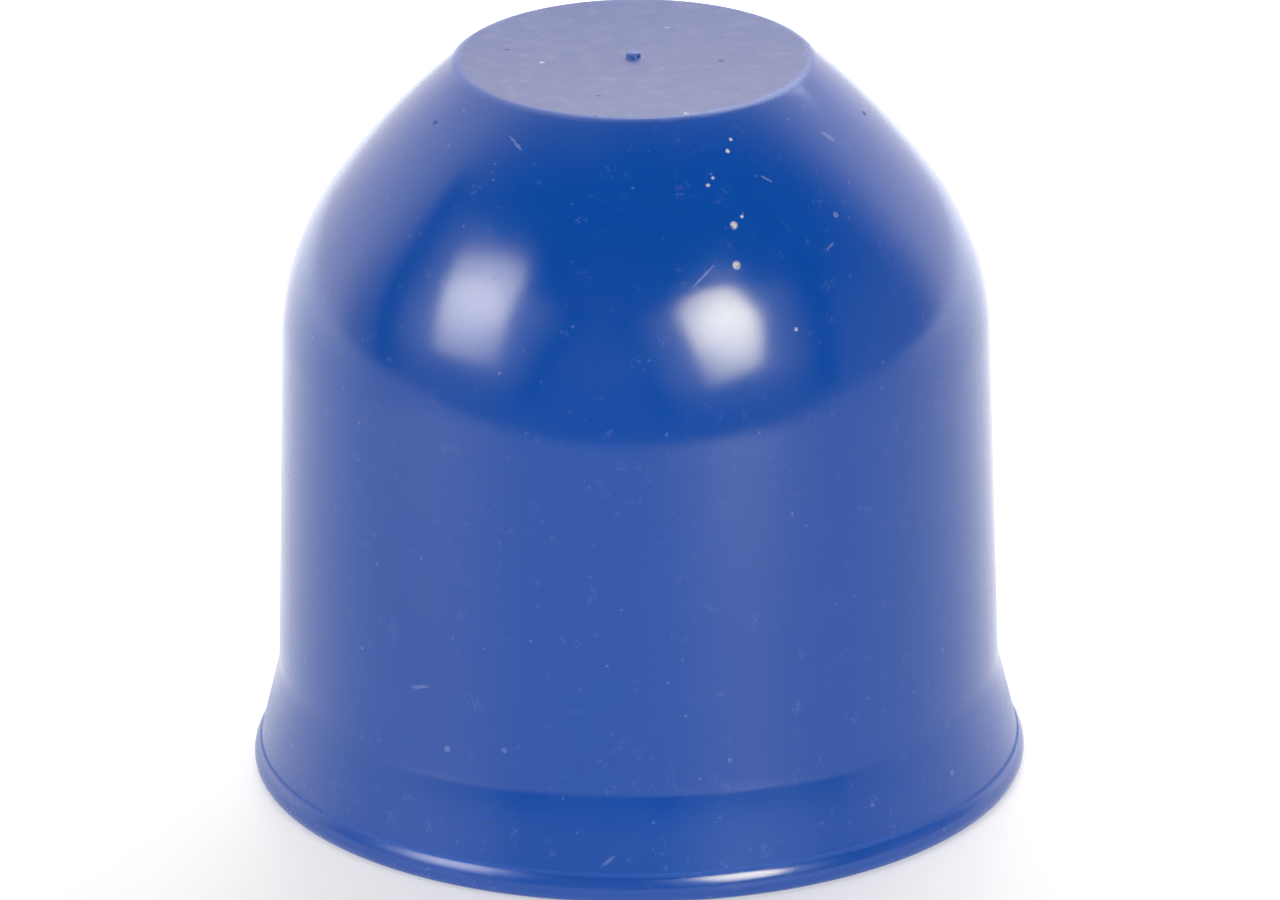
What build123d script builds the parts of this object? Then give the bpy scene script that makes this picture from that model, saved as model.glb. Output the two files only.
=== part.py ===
from build123d import *

import os
from math import acos, asin, cos, degrees, radians, sin, tan

# Tow ball cover: one moulded plastic cap that drops over a coupling ball.
# Millimetres, +Z up. The origin is on the cap's axis, in the plane of its rim.

# The ball that the cap goes over
ball_diameter = 80.0
ball_side_clearance = 0.3   # gap round the ball's widest circle
ball_top_clearance = 0.3    # gap between the ball's top and the ceiling
ball_centre_height = 47.0   # above the rim

# Walls
side_wall = 2.4
top_wall = 2.5

# Body and dome
draft = 1.37                # degrees that the body leans in by, on the way up
land_drop = 6.0             # the straight land starts this far below the ball's centre
shoulder_rise = 7.35        # the shoulder arc's centre is this far above the ball's
shoulder_radius = 33.5
shoulder_end = 36.0         # degrees of lean where the flatter crown takes over
crown_radius = 85.0
top_edge_radius = 1.5
ceiling_corner_radius = 2.0

# Flared skirt
flare_height = 13.05        # above the rim, where the body starts to widen
flare_angle = 13.6          # degrees from the cap's axis
flare_blend_radius = 10.0

# Lip round the rim: a wide round above its widest circle and a tight one below
lip_upper_radius = 2.8
lip_lower_radius = 1.6
lip_stands_proud = 0.42     # of the flare's outer face
lip_height = 1.44           # of its widest circle, less than the lower radius, so the underside is flat
lip_crease_radius = 0.4
mouth_edge_radius = 0.4

# Stub of the moulding gate, in the middle of the flat top
gate_diameter = 1.7
gate_height = 0.7
gate_edge_radius = 0.3
gate_foot_radius = 0.35

# Heights and radii that follow
land_radius = ball_diameter / 2 + ball_side_clearance
land_bottom = ball_centre_height - land_drop
shoulder_height = ball_centre_height + shoulder_rise
crown_centre_height = shoulder_height - (crown_radius - shoulder_radius) * sin(radians(shoulder_end))
ceiling_height = ball_centre_height + ball_diameter / 2 + ball_top_clearance
top_height = ceiling_height + top_wall


def body_radius(height):
    """Radius of the body's drafted outside."""
    return land_radius + side_wall + (ball_centre_height - height) * tan(radians(draft))


def bore_radius(height):
    """Radius of the drafted inside below the straight land."""
    return land_radius + (land_bottom - height) * tan(radians(draft))


def on_round(centre, radius, angle):
    """Point on a round of the section, by degrees above its centre's height."""
    return centre + Vector(radius, 0).rotate(Axis.Z, angle)


def dome_arcs(start, lean, inset, flat_height):
    """Tangent shoulder and crown from the top of a wall up to a flat. Gives the corner with that flat."""
    crown_end = degrees(asin((flat_height - crown_centre_height) / (crown_radius - inset)))
    shoulder = JernArc(
        start,
        tangent=Vector(0, 1).rotate(Axis.Z, lean),
        radius=shoulder_radius - inset,
        arc_size=shoulder_end - lean,
    )
    crown = JernArc(
        shoulder @ 1,
        tangent=shoulder % 1,
        radius=crown_radius - inset,
        arc_size=crown_end - shoulder_end,
    )
    return crown @ 1


def round_corner(sketch, corner, radius):
    """Round the corner of a sketch that lies at a point."""
    fillet(sketch.vertices().sort_by_distance(corner)[0], radius)


# Section points of the outside
flare_start = Vector(body_radius(flare_height), flare_height)
shoulder_foot = shoulder_height + shoulder_radius * sin(radians(draft))
shoulder_start = Vector(body_radius(shoulder_foot), shoulder_foot)

# The centre of the lip's upper round lies behind the flare's outer face, square to it, by the lip's depth
lip_depth = lip_upper_radius - lip_stands_proud
flare_spread = (flare_height - lip_height) * tan(radians(flare_angle))
lip_upper_centre = Vector(
    flare_start.X + flare_spread - lip_depth / cos(radians(flare_angle)),
    lip_height,
)
lip_lower_centre = lip_upper_centre + Vector(lip_upper_radius - lip_lower_radius, 0)
lip_top_angle = flare_angle + degrees(acos(lip_depth / lip_upper_radius))
lip_flat_angle = -degrees(asin(lip_height / lip_lower_radius))
lip_top = on_round(lip_upper_centre, lip_upper_radius, lip_top_angle)
lip_underside = on_round(lip_lower_centre, lip_lower_radius, lip_flat_angle)

# Section points of the gate stub
gate_foot = Vector(gate_diameter / 2, top_height)
gate_top = gate_foot + Vector(0, gate_height)

# Section points of the hollow
bore_flare_start = Vector(bore_radius(flare_height), flare_height)
mouth = Vector(bore_flare_start.X + flare_height * tan(radians(flare_angle)), 0)
land_start = Vector(land_radius, land_bottom)
land_end = Vector(land_radius, shoulder_height)

with BuildPart() as cap:
    # Outside form, solid: lip, flare, drafted body, shoulder, crown, flat top and gate stub
    with BuildSketch(Plane.XZ) as outside:
        with BuildLine():
            CenterArc(lip_lower_centre, lip_lower_radius, lip_flat_angle, -lip_flat_angle)
            CenterArc(lip_upper_centre, lip_upper_radius, 0, lip_top_angle)
            Polyline(lip_top, flare_start, shoulder_start)
            top_edge = dome_arcs(shoulder_start, draft, 0, top_height)
            Polyline(top_edge, gate_foot, gate_top, (0, gate_top.Y), (0, 0), lip_underside)
        make_face()
        round_corner(outside, lip_top, lip_crease_radius)
        round_corner(outside, flare_start, flare_blend_radius)
        round_corner(outside, top_edge, top_edge_radius)
        round_corner(outside, gate_foot, gate_foot_radius)
        round_corner(outside, gate_top, gate_edge_radius)
    revolve(axis=Axis.Z)

    # Hollow: flared mouth, drafted bore, straight land at the ball's widest circle, dome and ceiling
    with BuildSketch(Plane.XZ) as hollow:
        with BuildLine():
            Polyline((0, 0), mouth, bore_flare_start, land_start, land_end)
            ceiling_corner = dome_arcs(land_end, 0, side_wall, ceiling_height)
            Polyline(ceiling_corner, (0, ceiling_height), (0, 0))
        make_face()
        round_corner(hollow, bore_flare_start, flare_blend_radius + side_wall)
        round_corner(hollow, ceiling_corner, ceiling_corner_radius)
    revolve(axis=Axis.Z, mode=Mode.SUBTRACT)
    mouth_edge = cap.edges().group_by(Axis.Z)[0].sort_by(SortBy.RADIUS)[0]
    fillet(mouth_edge, mouth_edge_radius)

cap.part.label = "cap"
os.makedirs("parts", exist_ok=True)
export_step(cap.part, "parts/cap.step")
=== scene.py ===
"""Looks of the tow ball cover: its section, turned into a clean mesh, in glossy, worn blue plastic."""

from bisect import bisect
from math import acos, asin, atan2, ceil, cos, degrees, hypot, pi, radians, sin, sqrt, tan
from types import SimpleNamespace

import bpy
from mathutils import Matrix, Vector


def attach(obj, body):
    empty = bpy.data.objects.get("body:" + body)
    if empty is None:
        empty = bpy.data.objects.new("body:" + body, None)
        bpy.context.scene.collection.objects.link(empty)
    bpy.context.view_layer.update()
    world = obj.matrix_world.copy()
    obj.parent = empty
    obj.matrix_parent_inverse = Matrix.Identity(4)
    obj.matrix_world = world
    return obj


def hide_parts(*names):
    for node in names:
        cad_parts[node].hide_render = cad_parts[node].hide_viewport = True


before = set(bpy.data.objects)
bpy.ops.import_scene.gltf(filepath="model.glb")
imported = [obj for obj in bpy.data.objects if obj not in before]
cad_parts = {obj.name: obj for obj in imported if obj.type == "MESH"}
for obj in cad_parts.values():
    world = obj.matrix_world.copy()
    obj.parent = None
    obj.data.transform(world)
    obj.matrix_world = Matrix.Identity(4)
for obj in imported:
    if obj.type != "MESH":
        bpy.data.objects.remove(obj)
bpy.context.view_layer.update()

MM = 0.001

# Sizes of the cap's section in millimetres, under the names that the part's source gives them
ball_diameter = 80.0
ball_side_clearance = 0.3
ball_top_clearance = 0.3
ball_centre_height = 47.0
side_wall = 2.4
top_wall = 2.5
draft = 1.37
land_drop = 6.0
shoulder_rise = 7.35
shoulder_radius = 33.5
shoulder_end = 36.0
crown_radius = 85.0
top_edge_radius = 1.5
ceiling_corner_radius = 2.0
flare_height = 13.05
flare_angle = 13.6
flare_blend_radius = 10.0
lip_upper_radius = 2.8
lip_lower_radius = 1.6
lip_stands_proud = 0.42
lip_height = 1.44
lip_crease_radius = 0.4
mouth_edge_radius = 0.4
gate_diameter = 1.7
gate_height = 0.7
gate_edge_radius = 0.3
gate_foot_radius = 0.35

land_radius = ball_diameter / 2 + ball_side_clearance
land_bottom = ball_centre_height - land_drop
shoulder_height = ball_centre_height + shoulder_rise
ceiling_height = ball_centre_height + ball_diameter / 2 + ball_top_clearance
top_height = ceiling_height + top_wall

# Fineness of the mesh
TURN_SEGMENTS = 320
WIDE_ARC_STEP = 1.0         # degrees between points on the dome and the blends
LIP_ARC_STEP = 2.5          # degrees between points on the lip's upper round
TIGHT_ARC_STEP = 5.0        # degrees between points on small roundings
SMALL_ARC_STEP = 15.0       # degrees between points on the smallest roundings
RUN_PITCH = 3.0             # millimetres between points on straight runs
SHARP_ANGLE = 25.0          # degrees; a crease above this stays crisp


def body_radius(height):
    """Radius of the body's drafted outside."""
    return land_radius + side_wall + (ball_centre_height - height) * tan(radians(draft))


def bore_radius(height):
    """Radius of the drafted inside below the straight land."""
    return land_radius + (land_bottom - height) * tan(radians(draft))


def polar(centre, radius, angle):
    """Point on a circle of the section, by its angle in degrees."""
    return (centre[0] + radius * cos(radians(angle)), centre[1] + radius * sin(radians(angle)))


def arc(centre, radius, start, end, step):
    """Points on an arc of the section, both ends included."""
    count = max(2, ceil(abs(end - start) / step))
    return [polar(centre, radius, start + (end - start) * i / count) for i in range(count + 1)]


def run(start, end):
    """Points between the ends of a straight run, both ends left out."""
    count = ceil(hypot(end[0] - start[0], end[1] - start[1]) / RUN_PITCH)
    return [
        (start[0] + (end[0] - start[0]) * i / count, start[1] + (end[1] - start[1]) * i / count)
        for i in range(1, count)
    ]


def rounded(before, corner, after, radius, step):
    """Arc that rounds a corner between two straight runs."""
    corner = Vector(corner)
    into = (Vector(before) - corner).normalized()
    out = (Vector(after) - corner).normalized()
    half = into.angle(out) / 2
    reach = radius / tan(half)
    centre = corner + (into + out).normalized() * radius / sin(half)
    start = corner + into * reach - centre
    end = corner + out * reach - centre
    start_angle = degrees(atan2(start.y, start.x))
    sweep = (degrees(atan2(end.y, end.x)) - start_angle + 180) % 360 - 180
    return arc(centre, radius, start_angle, start_angle + sweep, step)


def dome(foot_radius, lean, inset, flat_height, edge_radius):
    """Shoulder, crown and rounded edge, from the top of a wall up to a flat."""
    shoulder = shoulder_radius - inset
    crown = crown_radius - inset
    shoulder_centre = (foot_radius - shoulder * cos(radians(lean)), shoulder_height)
    crown_centre = polar(shoulder_centre, shoulder - crown, shoulder_end)
    edge_rise = flat_height - edge_radius - crown_centre[1]
    edge_angle = degrees(asin(edge_rise / (crown - edge_radius)))
    edge_centre = polar(crown_centre, crown - edge_radius, edge_angle)
    return (
        arc(shoulder_centre, shoulder, lean, shoulder_end, WIDE_ARC_STEP)[:-1]
        + arc(crown_centre, crown, shoulder_end, edge_angle, WIDE_ARC_STEP)[:-1]
        + arc(edge_centre, edge_radius, edge_angle, 90, TIGHT_ARC_STEP)
    )


def lip_and_crease(flare_start):
    """Points up the lip's two rounds and through the crease above them, to the flare."""
    face = Vector((cos(radians(flare_angle)), sin(radians(flare_angle))))
    along = Vector((-face.y, face.x))
    depth = lip_upper_radius - lip_stands_proud
    spread = (flare_height - lip_height) * tan(radians(flare_angle))
    upper_centre = Vector((flare_start[0] + spread - depth / face.x, lip_height))
    lower_centre = upper_centre + Vector((lip_upper_radius - lip_lower_radius, 0))
    clear = depth + lip_crease_radius
    reach = lip_upper_radius + lip_crease_radius
    crease_centre = upper_centre + face * clear + along * sqrt(reach ** 2 - clear ** 2)
    towards_crease = flare_angle + degrees(acos(clear / reach))
    underside = -degrees(asin(lip_height / lip_lower_radius))
    lower = arc(lower_centre, lip_lower_radius, underside, 0, TIGHT_ARC_STEP)
    upper = arc(upper_centre, lip_upper_radius, 0, towards_crease, LIP_ARC_STEP)
    crease_start = towards_crease + 180
    crease = arc(crease_centre, lip_crease_radius, crease_start, flare_angle + 180, TIGHT_ARC_STEP)
    return lower[:-1] + upper[:-1] + crease


def gate_stub():
    """Points over the stub of the moulding gate, from its rounded foot on the flat top to the axis."""
    radius = gate_diameter / 2
    foot_centre = (radius + gate_foot_radius, top_height + gate_foot_radius)
    edge_centre = (radius - gate_edge_radius, top_height + gate_height - gate_edge_radius)
    return (
        arc(foot_centre, gate_foot_radius, 270, 180, SMALL_ARC_STEP)
        + arc(edge_centre, gate_edge_radius, 0, 90, SMALL_ARC_STEP)
        + [(0, top_height + gate_height)]
    )


def outside_section():
    """Points up the outside, from the edge of the flat underside to the axis."""
    flare_start = (body_radius(flare_height), flare_height)
    shoulder_foot = shoulder_height + shoulder_radius * sin(radians(draft))
    body_top = (body_radius(shoulder_foot), shoulder_foot)
    lip = lip_and_crease(flare_start)
    blend = rounded(lip[-1], flare_start, body_top, flare_blend_radius, WIDE_ARC_STEP)
    over = dome(body_top[0], draft, 0, top_height, top_edge_radius)
    gate = gate_stub()
    return (
        lip
        + run(lip[-1], blend[0])
        + blend
        + run(blend[-1], body_top)
        + over
        + run(over[-1], gate[0])
        + gate
    )


def inside_section():
    """Points up the hollow, from the rounded edge of the mouth to the axis."""
    flare_start = (bore_radius(flare_height), flare_height)
    mouth = (flare_start[0] + flare_height * tan(radians(flare_angle)), 0)
    land_start = (land_radius, land_bottom)
    land_end = (land_radius, shoulder_height)
    underside = (mouth[0] + side_wall, 0)
    edge = rounded(underside, mouth, flare_start, mouth_edge_radius, SMALL_ARC_STEP)
    blend = rounded(mouth, flare_start, land_start, flare_blend_radius + side_wall, WIDE_ARC_STEP)
    over = dome(land_radius, 0, side_wall, ceiling_height, ceiling_corner_radius)
    centre = (0, ceiling_height)
    return (
        edge
        + run(edge[-1], blend[0])
        + blend
        + run(blend[-1], land_start)
        + [land_start]
        + run(land_start, land_end)
        + over
        + run(over[-1], centre)
        + [centre]
    )


def turned(name, profile):
    """Mesh object of a closed section turned about +Z. The profile starts and ends on the axis."""
    rings = profile[1:-1]
    vertices = [(0, 0, profile[0][1] * MM), (0, 0, profile[-1][1] * MM)]
    for radius, height in rings:
        for step in range(TURN_SEGMENTS):
            turn = 2 * pi * step / TURN_SEGMENTS
            vertices.append((radius * cos(turn) * MM, radius * sin(turn) * MM, height * MM))

    def at(ring, step):
        return 2 + ring * TURN_SEGMENTS + step % TURN_SEGMENTS

    faces = []
    last = len(rings) - 1
    for step in range(TURN_SEGMENTS):
        faces.append((0, at(0, step), at(0, step + 1)))
        for ring in range(last):
            near = (at(ring, step), at(ring + 1, step))
            far = (at(ring + 1, step + 1), at(ring, step + 1))
            faces.append(near + far)
        faces.append((1, at(last, step + 1), at(last, step)))
    mesh = bpy.data.meshes.new(name)
    mesh.from_pydata(vertices, [], faces)
    mesh.shade_smooth()
    mesh.set_sharp_from_angle(angle=radians(SHARP_ANGLE))
    made = bpy.data.objects.new(name, mesh)
    bpy.context.scene.collection.objects.link(made)
    return made


def add(tree, kind, inputs=None, **properties):
    """Add a node with its properties, and feed its inputs with values or with other nodes' sockets."""
    made = tree.nodes.new(kind)
    for name, value in properties.items():
        setattr(made, name, value)
    for key, value in (inputs or {}).items():
        if isinstance(value, bpy.types.NodeSocket):
            tree.links.new(value, made.inputs[key])
        else:
            made.inputs[key].default_value = value
    return made


def calc(tree, operation, *values):
    """Result of a sum on numbers."""
    return add(tree, "ShaderNodeMath", dict(enumerate(values)), operation=operation).outputs["Value"]


def vector_sum(tree, operation, values):
    """Outputs of a sum on vectors."""
    return add(tree, "ShaderNodeVectorMath", dict(enumerate(values)), operation=operation).outputs


def vector(tree, operation, *values):
    """Result of a sum on vectors that is a vector."""
    return vector_sum(tree, operation, values)["Vector"]


def measure(tree, operation, *values):
    """Result of a sum on vectors that is a number."""
    return vector_sum(tree, operation, values)["Value"]


def ranged(tree, value, low, high, start, end, kind="SMOOTHSTEP"):
    """Number that goes from start to end while the value goes from low to high."""
    inputs = {"Value": value, "From Min": low, "From Max": high, "To Min": start, "To Max": end}
    return add(tree, "ShaderNodeMapRange", inputs, interpolation_type=kind).outputs["Result"]


def blended(tree, share, value, other):
    """Number that goes evenly from one to another while the share goes from 0 to 1."""
    return ranged(tree, share, 0, 1, value, other, "LINEAR")


NOISE_ROUGHNESS = 0.55


def noise(tree, place, size, detail):
    """Cloudy pattern from 0 to 1, with forms of about the given size in millimetres."""
    inputs = {"Vector": place, "Scale": 1 / size, "Detail": detail, "Roughness": NOISE_ROUGHNESS}
    return add(tree, "ShaderNodeTexNoise", inputs).outputs["Fac"]


def tinted(tree, factor, colour, other):
    """Colour that goes from one to another with the factor."""
    inputs = {"Factor": factor, "A": colour, "B": other}
    return add(tree, "ShaderNodeMix", inputs, data_type="RGBA").outputs["Result"]


def on_surface(azimuth, height):
    """Point of the outside by degrees from the front, positive to the right, and by its height."""
    above = bisect(OUTSIDE_HEIGHTS, height)
    low, high = OUTSIDE[above - 1], OUTSIDE[above]
    radius = low[0] + (high[0] - low[0]) * (height - low[1]) / (high[1] - low[1])
    return Vector((radius * sin(radians(azimuth)), -radius * cos(radians(azimuth)), height))


def on_top(x, y):
    """Point of the flat top."""
    return Vector((x, y, top_height))


MARK_EDGE = (0.55, 1.15)    # shares of a mark's half width between which it fades


def marked(tree, place, marks):
    """1 on any of some marks and 0 beside them. A mark has two ends and a width in millimetres."""
    nearest = None
    for start, end, width in marks:
        line = end - start
        if line.length:
            turn = line.to_track_quat("X", "Z").to_euler()
            size = (line.length / 2 + width / 2, width / 2, width / 2)
            inputs = {"Vector": place, "Location": (start + end) / 2, "Rotation": turn, "Scale": size}
            local = add(tree, "ShaderNodeMapping", inputs, vector_type="TEXTURE").outputs["Vector"]
            away = measure(tree, "LENGTH", local)
        else:
            away = calc(tree, "MULTIPLY", measure(tree, "DISTANCE", place, start), 2 / width)
        nearest = calc(tree, "MINIMUM", nearest, away) if nearest else away
    return ranged(tree, nearest, *MARK_EDGE, 1.0, 0.0)


def speck(point, width):
    """Round mark."""
    return (point, point, width)


OUTSIDE = outside_section()
OUTSIDE_HEIGHTS = [height for radius, height in OUTSIDE]

# Grit and chips that stand on the surface, nearly white
LARGE_GRIT = (
    speck(on_surface(21.4, 79.4), 1.0),
    speck(on_surface(19.9, 75.6), 1.1),
)
GRIT = LARGE_GRIT + (
    speck(on_surface(27.9, 87.15), 0.5),
    speck(on_surface(25.7, 86.2), 0.65),
    speck(on_surface(19.5, 84.0), 0.45),
    speck(on_surface(17.8, 83.4), 0.55),
    speck(on_surface(23.7, 80.1), 0.5),
    speck(on_surface(28.4, 68.2), 0.55),
    speck(on_top(-10.9, -1.4), 0.8),
    speck(on_top(6.2, -19.7), 0.7),
)
# Pale scuffs, fainter than the grit
SCUFFS = (
    (on_surface(-37.2, 87.1), on_surface(-31.1, 86.05), 0.4),
    (on_surface(10.3, 73.7), on_surface(15.8, 76.0), 0.35),
    (on_surface(-38.3, 23.0), on_surface(-35.2, 23.5), 0.45),
    (on_surface(32.0, 83.4), on_surface(34.0, 82.7), 0.4),
    speck(on_surface(45.9, 78.1), 0.9),
    (on_surface(39.6, 75.2), on_surface(42.2, 75.7), 0.4),
    (on_surface(57.6, 85.2), on_surface(59.4, 84.2), 0.8),
    speck(on_surface(-23.0, 64.2), 0.5),
    speck(on_surface(14.2, 16.6), 0.6),
    speck(on_surface(56.4, 7.5), 0.8),
    speck(on_surface(38.1, 7.8), 0.6),
    speck(on_surface(-31.6, 16.2), 0.9),
    speck(on_surface(-21.6, 17.4), 0.8),
    (on_surface(-5.6, 4.6), on_surface(-4.0, 5.6), 0.45),
    speck(on_top(4.1, 10.6), 0.9),
)
# Dirt pits
DIRT = (
    speck(on_surface(-65.5, 85.7), 0.8),
    speck(on_surface(81.6, 83.95), 0.8),
    speck(on_surface(-23.1, 8.4), 0.6),
    speck(on_top(-15.1, 3.2), 0.8),
    speck(on_top(10.4, -1.4), 0.9),
    speck(on_top(-4.1, -13.3), 0.7),
)

PLASTIC_DEEP = (0.0031, 0.065, 0.360, 1)
PLASTIC_LIGHT = (0.0036, 0.071, 0.390, 1)
# Worn colour; it is also painted low on the skirt as a sheen
WORN_AND_SHEEN_COLOUR = (0.050, 0.110, 0.40, 1)
FILM_COLOUR = (0.042, 0.077, 0.290, 1)
DUST_COLOUR = (0.235, 0.26, 0.40, 1)
GRIT_COLOUR = (0.60, 0.61, 0.68, 1)
GRIT_SHADE_COLOUR = (0.22, 0.23, 0.32, 1)
SCUFF_COLOUR = (0.20, 0.26, 0.52, 1)
DIRT_COLOUR = (0.014, 0.026, 0.085, 1)


# Sizes of the patterns in millimetres
CLOUD_SIZE = 14
PATCH_SIZE = 5
MOTTLE_SIZE = 2.2
GRAIN_SIZE = 0.4
SPECKS_PER_MM = 0.55
RAGGED = (0.5, -0.4, 0.6)   # how far the grain pulls the marks' outlines about

# Where one finish gives way to the next: heights, radii and places across, in millimetres
INSIDE_TURN = (-2, 2)
FLAT_HEIGHTS = (89.5, 89.75)
STUB_RADII = (1.0, 1.4)
FILM_RADII = (21.1, 21.6)
FILM_RAGGED = 1.3
TOP_EDGE_HEIGHTS = (89.25, 89.5)
RIM_HEIGHTS = (0.4, 2.0)
LIP_END_HEIGHTS = (3.1, 3.35)
CREASE_HEIGHTS = (3.5, 3.9)
FLARE_HEIGHTS = (8.0, 14.0)
PAINTED_SHEEN_HEIGHTS = (6.0, 13.0)
SATIN_LIP_HEIGHTS = (3.1, 3.4)
SATIN_LIP_ACROSS = (-22, 2)
FILM_PALING_DEPTHS = (-21, 21)

# Parts of a pattern that show, and from what to what their strength goes
TOP_WEAR = (0.3, 0.7, 0.2, 0.6)
RIM_WEAR = (0.52, 0.72, 0.0, 0.5)
SPECK_CHANCE = (0.68, 1.0, 0.0, 0.8)
SPECK_EDGE = (0.05, 0.15, 1.0, 0.0)
SMUDGE_PATCH = (0.60, 0.72, 0.0, 1.0)
SMUDGE_GRAIN = (0.45, 0.65, 0.0, 0.32)
DUST_SMUDGES = (0.35, 0.72, -0.02, 0.09)
GRIT_LUMPS = (0.35, 0.6, 0.0, 1.0)
GLOSS_PATCHES = (0.4, 0.7, 0.155, 0.18)
FILM_PALER_AT_FRONT = 0.32
SKIRT_PAINTED_SHEEN = 0.17
PALE_SHARE = 0.45
DIRT_SHARE = 0.6

# Roughness; the flare's falls below the gloss, which takes over there
FLARE_ROUGHNESS = (0.265, 0.12)
CREASE_ROUGHNESS = 0.60
SATIN_LIP_ROUGHNESS = 0.265
INSIDE_ROUGHNESS = 0.38
WORN_ROUGHNESS = 0.50
FILM_ROUGHNESS = 0.48
PALE_ROUGHNESS = 0.40
GRIT_ROUGHNESS = 0.7

# Relief in millimetres
CLOUD_RELIEF = 0.03
GLOSS_GRAIN_RELIEF = 0.0010
DULL_GRAIN_RELIEF = 0.006
GRIT_RELIEF = 0.14

PLASTIC_IOR = 1.5


def plastic_surface(tree):
    """Places on the cap in millimetres, patterns, and masks of the zones that differ in finish."""
    coordinates = add(tree, "ShaderNodeTexCoord").outputs
    place = vector(tree, "MULTIPLY", coordinates["Object"], (1 / MM, 1 / MM, 1 / MM))
    axes = add(tree, "ShaderNodeSeparateXYZ", {"Vector": place}).outputs
    height = axes["Z"]
    radius = measure(tree, "LENGTH", vector(tree, "MULTIPLY", place, (1, 1, 0)))
    patch = noise(tree, place, PATCH_SIZE, 2)
    mottle = noise(tree, place, MOTTLE_SIZE, 2)

    from_ball = vector(tree, "SUBTRACT", place, (0, 0, ball_centre_height))
    outwards = measure(tree, "DOT_PRODUCT", coordinates["Normal"], from_ball)
    outside = ranged(tree, outwards, *INSIDE_TURN, 0.0, 1.0)

    above = ranged(tree, height, *FLAT_HEIGHTS, 0.0, 1.0)
    flat = calc(tree, "MULTIPLY", above, ranged(tree, radius, *STUB_RADII, 0.0, 1.0))
    ragged_radius = calc(tree, "MULTIPLY_ADD", mottle, FILM_RAGGED, radius)
    film = calc(tree, "MULTIPLY", flat, ranged(tree, ragged_radius, *FILM_RADII, 1.0, 0.0))

    top_edge = ranged(tree, height, *TOP_EDGE_HEIGHTS, 0.0, 1.0)
    top_wear = calc(tree, "MULTIPLY", top_edge, ranged(tree, patch, *TOP_WEAR))
    rim = calc(tree, "MULTIPLY", outside, ranged(tree, height, *RIM_HEIGHTS, 1.0, 0.0))
    rim_wear = calc(tree, "MULTIPLY", rim, ranged(tree, patch, *RIM_WEAR))
    return SimpleNamespace(
        place=place,
        across=axes["X"],
        depth=axes["Y"],
        height=height,
        cloud=noise(tree, place, CLOUD_SIZE, 1),
        patch=patch,
        mottle=mottle,
        grain=noise(tree, place, GRAIN_SIZE, 1),
        inside=ranged(tree, outwards, *INSIDE_TURN, 1.0, 0.0),
        outside=outside,
        flat=flat,
        film=film,
        wear=calc(tree, "MAXIMUM", top_wear, rim_wear),
    )


def plastic_marks(tree, surface):
    """Masks of the grit, the dirt, and the pale marks: scuffs, tiny specks all over and smudges of dust."""
    off_middle = calc(tree, "SUBTRACT", surface.grain, 0.5)
    ragged = vector(tree, "MULTIPLY_ADD", off_middle, RAGGED, surface.place)
    cells = add(tree, "ShaderNodeTexVoronoi", {"Vector": ragged, "Scale": SPECKS_PER_MM}).outputs
    chance = add(tree, "ShaderNodeSeparateColor", {"Color": cells["Color"]}).outputs["Red"]
    kept = ranged(tree, chance, *SPECK_CHANCE)
    specks = calc(tree, "MULTIPLY", kept, ranged(tree, cells["Distance"], *SPECK_EDGE))
    smudge_patch = ranged(tree, surface.mottle, *SMUDGE_PATCH)
    smudges = calc(tree, "MULTIPLY", smudge_patch, ranged(tree, surface.grain, *SMUDGE_GRAIN))
    dusty = calc(tree, "MULTIPLY", surface.outside, calc(tree, "MAXIMUM", specks, smudges))
    return SimpleNamespace(
        grit=marked(tree, ragged, GRIT),
        dirt=marked(tree, ragged, DIRT),
        pale=calc(tree, "MAXIMUM", marked(tree, ragged, SCUFFS), dusty),
    )


def plastic_colour(tree, surface, marks):
    """Cloudy blue, worn in places, with a painted sheen low on the skirt, the dusty film on the flat top
    and the marks over it.
    """
    colour = tinted(tree, surface.cloud, PLASTIC_DEEP, PLASTIC_LIGHT)
    # Painted sheen: the low skirt is lightened all round, standing in for the pale reflection that it
    # mirrors there
    painted_sheen = ranged(tree, surface.height, *PAINTED_SHEEN_HEIGHTS, SKIRT_PAINTED_SHEEN, 0.0)
    colour = tinted(tree, calc(tree, "MAXIMUM", surface.wear, painted_sheen), colour, WORN_AND_SHEEN_COLOUR)

    # The film on the flat top grows paler towards its front, and dust lies on it in small smudges
    paler_at_front = ranged(tree, surface.depth, *FILM_PALING_DEPTHS, FILM_PALER_AT_FRONT, 0.0, "LINEAR")
    dust = calc(tree, "ADD", paler_at_front, ranged(tree, surface.mottle, *DUST_SMUDGES))
    colour = tinted(tree, surface.film, colour, tinted(tree, dust, FILM_COLOUR, DUST_COLOUR))

    colour = tinted(tree, calc(tree, "MULTIPLY", marks.pale, PALE_SHARE), colour, SCUFF_COLOUR)
    colour = tinted(tree, calc(tree, "MULTIPLY", marks.dirt, DIRT_SHARE), colour, DIRT_COLOUR)
    lumps = ranged(tree, surface.grain, *GRIT_LUMPS)
    return tinted(tree, marks.grit, colour, tinted(tree, lumps, GRIT_SHADE_COLOUR, GRIT_COLOUR))


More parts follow.
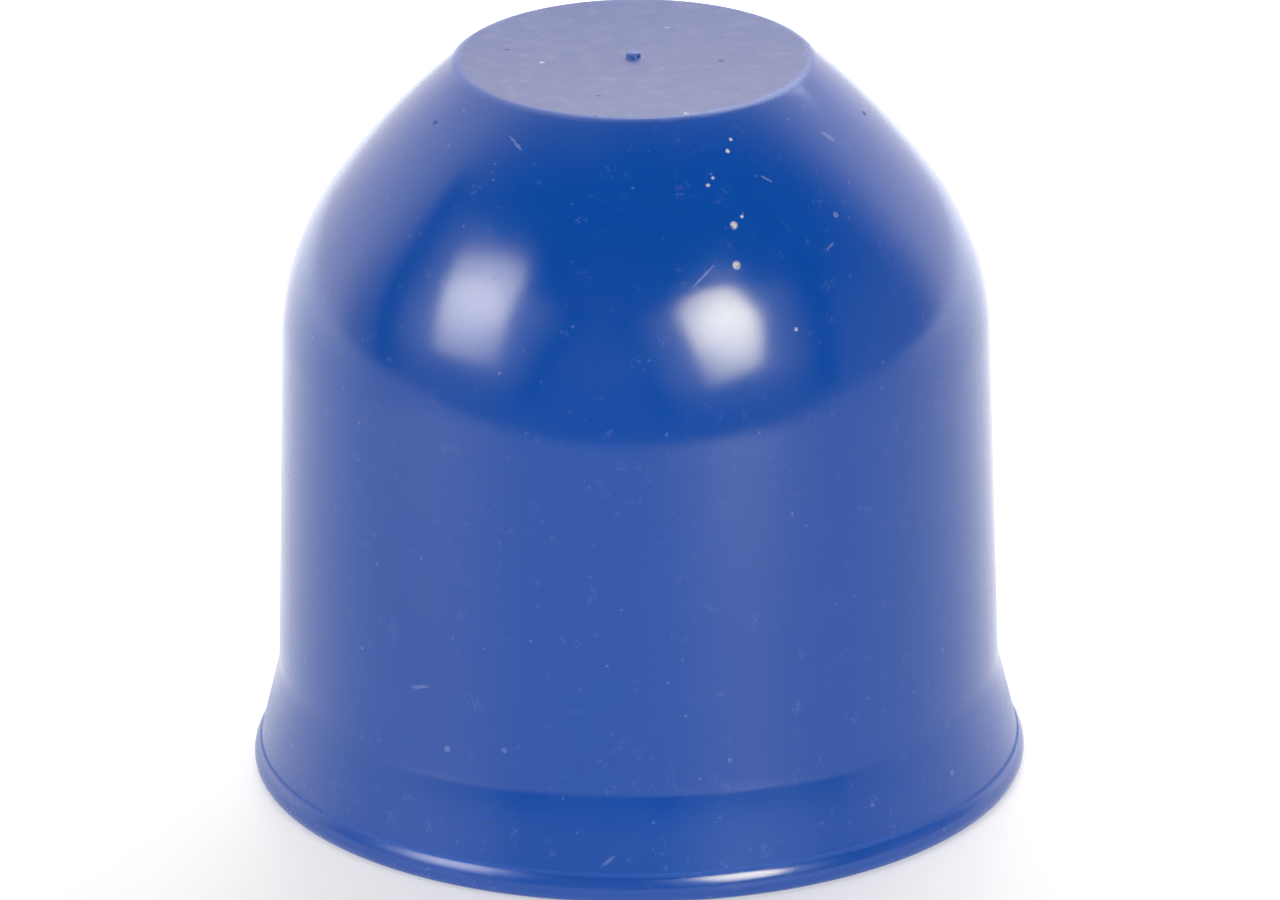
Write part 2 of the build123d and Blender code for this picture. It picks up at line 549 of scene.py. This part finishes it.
def plastic_roughness(tree, surface, marks):
    """Gloss in patches, satin on the flare and lip, and duller in the crease, inside, film and marks."""
    height = surface.height
    above_lip = ranged(tree, height, *LIP_END_HEIGHTS, 0.0, 1.0)
    flare = ranged(tree, height, *FLARE_HEIGHTS, *FLARE_ROUGHNESS)
    crease = ranged(tree, height, *CREASE_HEIGHTS, CREASE_ROUGHNESS, 0.0)
    satin = calc(tree, "MULTIPLY", above_lip, calc(tree, "MAXIMUM", flare, crease))
    rough = calc(tree, "MAXIMUM", ranged(tree, surface.patch, *GLOSS_PATCHES), satin)

    left = ranged(tree, surface.across, *SATIN_LIP_ACROSS, 1.0, 0.0)
    satin_lip = calc(tree, "MULTIPLY", left, ranged(tree, height, *SATIN_LIP_HEIGHTS, 1.0, 0.0))
    rough = blended(tree, satin_lip, rough, SATIN_LIP_ROUGHNESS)
    rough = blended(tree, surface.inside, rough, INSIDE_ROUGHNESS)
    rough = blended(tree, surface.wear, rough, WORN_ROUGHNESS)
    rough = blended(tree, surface.film, rough, FILM_ROUGHNESS)
    rough = blended(tree, marks.pale, rough, PALE_ROUGHNESS)
    return blended(tree, calc(tree, "MAXIMUM", marks.grit, marks.dirt), rough, GRIT_ROUGHNESS)


def plastic_relief(tree, surface):
    """Normal over waves of the moulding, fine grain and the two large pieces of grit."""
    relief = calc(tree, "MULTIPLY", surface.cloud, CLOUD_RELIEF)
    dull = calc(tree, "MAXIMUM", surface.inside, surface.flat)
    grain_relief = blended(tree, dull, GLOSS_GRAIN_RELIEF, DULL_GRAIN_RELIEF)
    relief = calc(tree, "MULTIPLY_ADD", surface.grain, grain_relief, relief)
    lumps = marked(tree, surface.place, LARGE_GRIT)
    relief = calc(tree, "MULTIPLY_ADD", lumps, GRIT_RELIEF, relief)
    bump = add(tree, "ShaderNodeBump", {"Height": relief, "Strength": 1.0, "Distance": MM})
    return bump.outputs["Normal"]


def blue_plastic():
    """Glossy moulded plastic with hazy patches, fine scuffs, grit, worn edges, a painted sheen low on the
    skirt and a dusty flat top.
    """
    material = bpy.data.materials.new("blue_plastic")
    material.use_nodes = True
    tree = material.node_tree
    tree.nodes.clear()
    surface = plastic_surface(tree)
    marks = plastic_marks(tree, surface)
    shader = add(
        tree, "ShaderNodeBsdfPrincipled",
        {
            "Base Color": plastic_colour(tree, surface, marks),
            "Roughness": plastic_roughness(tree, surface, marks),
            "IOR": PLASTIC_IOR,
            "Normal": plastic_relief(tree, surface),
        },
    )
    output = add(tree, "ShaderNodeOutputMaterial")
    tree.links.new(shader.outputs["BSDF"], output.inputs["Surface"])
    return material


# Table in metres, with painted light: its glow rises from front to back and lies in two painted pools of
# light
FLOOR_COLOUR = (0.46, 0.46, 0.47, 1)
FLOOR_ROUGHNESS = 0.5
FLOOR_SPECULAR = 0.25
FLOOR_HEIGHT = -0.00002     # a hair under the rim, so the two faces never lie in one plane
FLOOR_FRONT = -0.28
FLOOR_BACK = 1.4
FLOOR_SIDE = 1.4
FLOOR_GLOW_START = -0.15
FLOOR_GLOW_END = 0.45
FLOOR_GLOW_FRONT = 0.36
FLOOR_GLOW_BACK = 1.45
PAINTED_POOL_RADIUS = 0.14
RIGHT_PAINTED_LIGHT_POOL = (0.125, -0.215, 0)
RIGHT_PAINTED_POOL_GLOW = 0.65
LEFT_PAINTED_LIGHT_POOL = (-0.22, -0.115, 0)
LEFT_PAINTED_POOL_GLOW = 0.30


def studio_floor():
    """Pale table that the cap stands on, with painted light: its glow is brighter towards its back and in
    two painted pools of light under the two softboxes.

    Its front edge is near, so the cap's front mirrors a dark room.
    """
    mesh = bpy.data.meshes.new("floor")
    corners = [
        (-FLOOR_SIDE, FLOOR_FRONT, FLOOR_HEIGHT),
        (FLOOR_SIDE, FLOOR_FRONT, FLOOR_HEIGHT),
        (FLOOR_SIDE, FLOOR_BACK, FLOOR_HEIGHT),
        (-FLOOR_SIDE, FLOOR_BACK, FLOOR_HEIGHT),
    ]
    mesh.from_pydata(corners, [], [(0, 1, 2, 3)])
    floor = bpy.data.objects.new("floor", mesh)
    bpy.context.scene.collection.objects.link(floor)
    material = bpy.data.materials.new("pale_table")
    material.use_nodes = True
    material.cycles.emission_sampling = "NONE"
    tree = material.node_tree
    shader = tree.nodes["Principled BSDF"]
    shader.inputs["Base Color"].default_value = FLOOR_COLOUR
    shader.inputs["Roughness"].default_value = FLOOR_ROUGHNESS
    shader.inputs["Specular IOR Level"].default_value = FLOOR_SPECULAR
    shader.inputs["Emission Color"].default_value = (1, 1, 1, 1)
    place = add(tree, "ShaderNodeTexCoord").outputs["Object"]
    depth = add(tree, "ShaderNodeSeparateXYZ", {"Vector": place}).outputs["Y"]
    # Painted light: the table glows by its own emission, more towards its back, plus two painted pools of
    # light
    glow = ranged(tree, depth, FLOOR_GLOW_START, FLOOR_GLOW_END, FLOOR_GLOW_FRONT, FLOOR_GLOW_BACK)
    for middle, painted_pool_glow in ((RIGHT_PAINTED_LIGHT_POOL, RIGHT_PAINTED_POOL_GLOW), (LEFT_PAINTED_LIGHT_POOL, LEFT_PAINTED_POOL_GLOW)):
        away = measure(tree, "DISTANCE", place, middle)
        glow = calc(tree, "ADD", glow, ranged(tree, away, 0, PAINTED_POOL_RADIUS, painted_pool_glow, 0.0))
    tree.links.new(glow, shader.inputs["Emission Strength"])
    mesh.materials.append(material)


def direction(elevation, azimuth):
    """Unit vector by degrees up and degrees round from the camera's side, positive to its right."""
    up = radians(elevation)
    around = radians(azimuth)
    return Vector((cos(up) * sin(around), -cos(up) * cos(around), sin(up)))


# Softboxes in metres. Each is given by the point of the cap, in millimetres, that mirrors it to the camera
SOFTBOX_DISTANCE = 1.1
SOFTBOX_FOOT_HEIGHTS = (-0.42, 0.05)
SOFTBOX_FOOT_SHARE = 0.45
SOFTBOX_HALF_SIZE = (0.36, 0.45)
SOFTBOX_FADE = (0.35, 1.2)
SOFTBOX_EDGE_SHARE = 0.30
HALO_DISTANCE = 1.13
HALO_RADIANCE = 1.6
HALO_CORNERS = ((-0.78, 0.42), (0.78, 0.42), (0.78, -0.70), (-0.78, -0.70))
HALO_SIDES = (0.25, 0.70)
HALO_TOP = (0.20, 0.42)
HALO_FOOT = (-0.60, -0.25)
HALO_FOOT_SHARE = 0.35
SOFTBOXES = (
    {
        "name": "right_softbox",
        "seen_at": (11.2, -36.9, 69.0),
        "elevation": 29.4,
        "azimuth": 36.4,
        "corners": (
            (-0.310, 0.245), (-0.225, 0.325), (-0.075, 0.360), (0.095, 0.340),
            (0.175, 0.059), (0.115, -0.303), (-0.270, -0.422),
        ),
        "radiance": 23.8,
        "tint": (1, 0.90, 0.57, 1),
    },
    {
        "name": "left_softbox",
        "seen_at": (-18.0, -32.4, 70.8),
        "elevation": 28.9,
        "azimuth": -63.1,
        "corners": ((-0.305, 0.225), (0.165, 0.415), (0.345, -0.332), (-0.150, -0.370)),
        "radiance": 14.7,
        "tint": (1, 0.91, 0.70, 1),
    },
)


def light_panel(name, seen_at, towards, distance, corners):
    """Panel that faces the point of the cap that mirrors it. Gives its node tree and its coordinates."""
    mesh = bpy.data.meshes.new(name)
    mesh.from_pydata([(across, up, 0) for across, up in corners], [], [range(len(corners))])
    panel = bpy.data.objects.new(name, mesh)
    panel.location = Vector(seen_at) * MM + towards * distance
    panel.rotation_euler = towards.to_track_quat("Z", "Y").to_euler()
    panel.visible_camera = False
    panel.visible_diffuse = False
    panel.visible_shadow = False
    bpy.context.scene.collection.objects.link(panel)
    material = bpy.data.materials.new(name)
    material.use_nodes = True
    material.cycles.emission_sampling = "NONE"
    mesh.materials.append(material)
    tree = material.node_tree
    tree.nodes.clear()
    return tree, add(tree, "ShaderNodeTexCoord").outputs["Object"]


def emitting(tree, colour, strength):
    """End a node tree in plain light."""
    light = add(tree, "ShaderNodeEmission", {"Color": colour, "Strength": strength})
    output = add(tree, "ShaderNodeOutputMaterial")
    tree.links.new(light.outputs["Emission"], output.inputs["Surface"])


def softbox(name, seen_at, elevation, azimuth, corners, radiance, tint):
    """Glowing panel of a studio light and, behind it, its fainter halo.

    They only show in the gloss: the fill lights give the even light that the photograph has.
    """
    towards = direction(elevation, azimuth)
    tree, place = light_panel(name, seen_at, towards, SOFTBOX_DISTANCE, corners)
    height = add(tree, "ShaderNodeSeparateXYZ", {"Vector": place}).outputs["Y"]
    foot_radiance = SOFTBOX_FOOT_SHARE * radiance
    glow = ranged(tree, height, *SOFTBOX_FOOT_HEIGHTS, foot_radiance, radiance, "LINEAR")
    half_width, half_height = SOFTBOX_HALF_SIZE
    spread = vector(tree, "MULTIPLY", place, (1 / half_width, 1 / half_height, 0))
    away = measure(tree, "LENGTH", spread)
    fade = ranged(tree, away, *SOFTBOX_FADE, 1.0, SOFTBOX_EDGE_SHARE, "LINEAR")
    emitting(tree, tint, calc(tree, "MULTIPLY", glow, fade))

    tree, place = light_panel(name + "_halo", seen_at, towards, HALO_DISTANCE, HALO_CORNERS)
    sides = [across for across, up in corners]
    middle = (min(sides) + max(sides)) / 2
    axes = add(tree, "ShaderNodeSeparateXYZ", {"Vector": place}).outputs
    beside = calc(tree, "ABSOLUTE", calc(tree, "SUBTRACT", axes["X"], middle))
    glow = ranged(tree, beside, *HALO_SIDES, HALO_RADIANCE, 0.0)
    glow = calc(tree, "MULTIPLY", glow, ranged(tree, axes["Y"], *HALO_TOP, 1.0, 0.0))
    glow = calc(tree, "MULTIPLY", glow, ranged(tree, axes["Y"], *HALO_FOOT, HALO_FOOT_SHARE, 1.0))
    emitting(tree, tint, glow)


FILL_DISTANCE = 1.3
# Name, degrees up, degrees round, width and height in metres, radiance, and whether the gloss mirrors it
FILL_LIGHTS = (
    ("back_light", 50, 155, 0.9, 0.9, 2.6, True),
    ("front_fill", 11, 0, 1.5, 0.5, 3.5, False),
    ("left_fill", 11, -62, 1.5, 0.5, 0.45, False),
    ("right_fill", 11, 62, 1.5, 0.5, 0.45, False),
    ("high_fill", 70, 0, 0.8, 0.8, 2.0, False),
)


def fill_light(name, elevation, azimuth, width, height, radiance, mirrored):
    """Wide soft panel at a distance from the cap's middle."""
    light = bpy.data.lights.new(name, "AREA")
    light.shape = "RECTANGLE"
    light.size = width
    light.size_y = height
    light.energy = radiance * pi * width * height
    light_object = bpy.data.objects.new(name, light)
    towards = direction(elevation, azimuth)
    light_object.location = towards * FILL_DISTANCE
    light_object.rotation_euler = towards.to_track_quat("Z", "Y").to_euler()
    light_object.visible_camera = False
    light_object.visible_glossy = mirrored
    light.cycles.use_multiple_importance_sampling = mirrored
    bpy.context.scene.collection.objects.link(light_object)


# Light tent, by unit directions from the cap
TENT_LEAN = (-0.08, 1.0, 0.07)
TENT_WING_START = 0.25
TENT_WING_SLOPE = 0.62
TENT_SOFTNESS = 0.25
TENT_RADIANCE = 1.6
TENT_TOP_HEIGHTS = (0.7, 1.0)
TENT_TOP_SHARE = 0.8
WALL_HEIGHTS = (0.15, 0.75)
WALL_RADIANCE = 0.45
WALL_FRONT_SHARE = 0.45
FRONT_GLOW_AT = (-0.17, -0.82, 0.55)
FRONT_GLOW_EDGE = 0.86
FRONT_GLOW_RADIANCE = 0.15
TENT_COLOUR = (0.98, 0.90, 0.82, 1)
BACKDROP_COLOUR = (0.93, 0.93, 0.94, 1)


def studio_world():
    """Light tent: white behind and above, open and dark in front, plain pale where the camera sees it."""
    world = bpy.data.worlds.new("studio")
    bpy.context.scene.world = world
    world.use_nodes = True
    tree = world.node_tree
    tree.nodes.clear()
    place = add(tree, "ShaderNodeTexCoord").outputs["Generated"]
    axes = add(tree, "ShaderNodeSeparateXYZ", {"Vector": place}).outputs
    side = calc(tree, "ABSOLUTE", axes["X"])
    lean = measure(tree, "DOT_PRODUCT", place, TENT_LEAN)
    wing = calc(tree, "SUBTRACT", calc(tree, "MAXIMUM", side, TENT_WING_START), TENT_WING_START)
    behind = calc(tree, "MULTIPLY_ADD", wing, -TENT_WING_SLOPE, lean)
    tent = ranged(tree, behind, -TENT_SOFTNESS, TENT_SOFTNESS, 0.0, TENT_RADIANCE)
    top_share = ranged(tree, axes["Z"], *TENT_TOP_HEIGHTS, 1.0, TENT_TOP_SHARE)
    tent = calc(tree, "MULTIPLY", tent, top_share)
    low = ranged(tree, axes["Z"], *WALL_HEIGHTS, WALL_RADIANCE, 0.0)
    walls = calc(tree, "MULTIPLY_ADD", low, calc(tree, "MAXIMUM", side, WALL_FRONT_SHARE), tent)
    front = measure(tree, "DOT_PRODUCT", place, FRONT_GLOW_AT)
    front_glow = ranged(tree, front, FRONT_GLOW_EDGE, 1.0, 0.0, FRONT_GLOW_RADIANCE)
    strength = calc(tree, "ADD", walls, front_glow)
    lit = add(tree, "ShaderNodeBackground", {"Color": TENT_COLOUR, "Strength": strength})
    seen = add(tree, "ShaderNodeBackground", {"Color": BACKDROP_COLOUR})
    path = add(tree, "ShaderNodeLightPath")
    either = add(
        tree, "ShaderNodeMixShader",
        {0: path.outputs["Is Camera Ray"], 1: lit.outputs["Background"], 2: seen.outputs["Background"]},
    )
    output = add(tree, "ShaderNodeOutputWorld")
    tree.links.new(either.outputs["Shader"], output.inputs["Surface"])


# The photograph's camera: a long lens, a little above the cap, in front of it
CAMERA_ELEVATION = 21.29
CAMERA_DISTANCE = 1.6636
CAMERA_AIM = Vector((0.00037, 0, 0.03963))
CAMERA_ROLL = -0.494
CAMERA_LENS = 388.55
CAMERA_SENSOR = 36.0
CAMERA_NEAR = 0.01


def photo_camera():
    """Camera at the photograph's viewing angle."""
    camera = bpy.data.cameras.new("camera")
    camera.lens = CAMERA_LENS
    camera.sensor_width = CAMERA_SENSOR
    camera.clip_start = CAMERA_NEAR
    camera_object = bpy.data.objects.new("camera", camera)
    towards = direction(CAMERA_ELEVATION, 0)
    turn = towards.to_track_quat("Z", "Y").to_matrix() @ Matrix.Rotation(radians(CAMERA_ROLL), 3, "Z")
    camera_object.location = CAMERA_AIM + towards * CAMERA_DISTANCE
    camera_object.rotation_euler = turn.to_euler()
    bpy.context.scene.collection.objects.link(camera_object)
    bpy.context.scene.camera = camera_object


cap_shell = turned("cap_shell", OUTSIDE[::-1] + inside_section())
cap_shell.data.materials.append(blue_plastic())
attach(cap_shell, "root")
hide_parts("cap")

studio_floor()
studio_world()
for settings in SOFTBOXES:
    softbox(**settings)
for settings in FILL_LIGHTS:
    fill_light(*settings)
photo_camera()
bpy.context.scene.view_settings.view_transform = "Standard"
